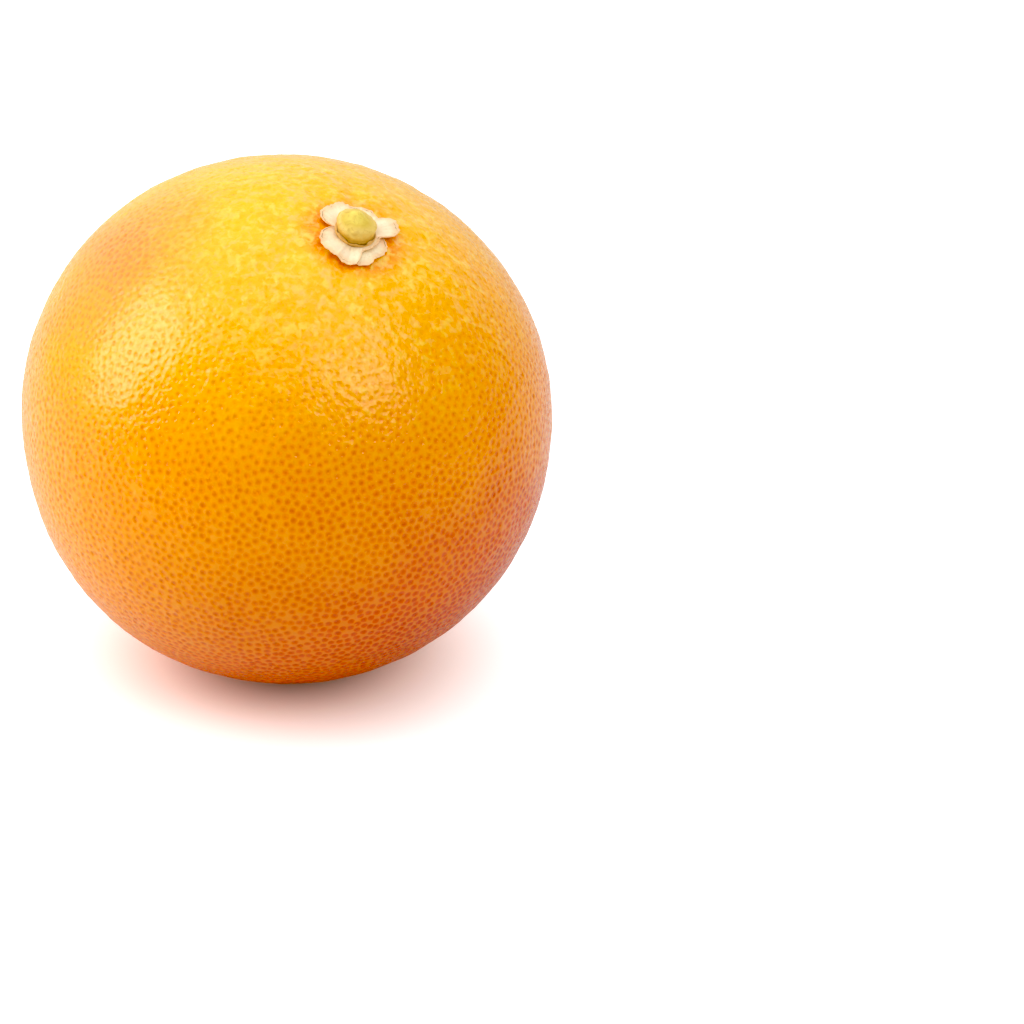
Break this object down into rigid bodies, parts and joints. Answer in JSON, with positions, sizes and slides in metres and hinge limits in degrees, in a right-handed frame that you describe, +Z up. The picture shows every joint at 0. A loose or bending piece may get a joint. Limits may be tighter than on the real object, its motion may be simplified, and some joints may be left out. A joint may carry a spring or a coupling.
{
  "type": "grapefruit",
  "caption": "Whole ripe grapefruit at rest, with its dried calyx and stem stub on the raised stem end.",
  "frame": {"origin": "on the resting surface, under the middle of the object's box", "axes": "+Z up as the fruit lies; the stem leans 26 degrees from +Z towards +X and -Y; -Z faces the surface it rests on"},
  "size_m": [0.1032, 0.1038, 0.1015],
  "materials": {
    "peel": "satin",
    "calyx": "matte",
    "stem": "matte"
  },
  "bodies": {
    "root": {"fruit": "peel", "calyx": "calyx", "stem_stub": "stem"}
  },
  "joints": []
}
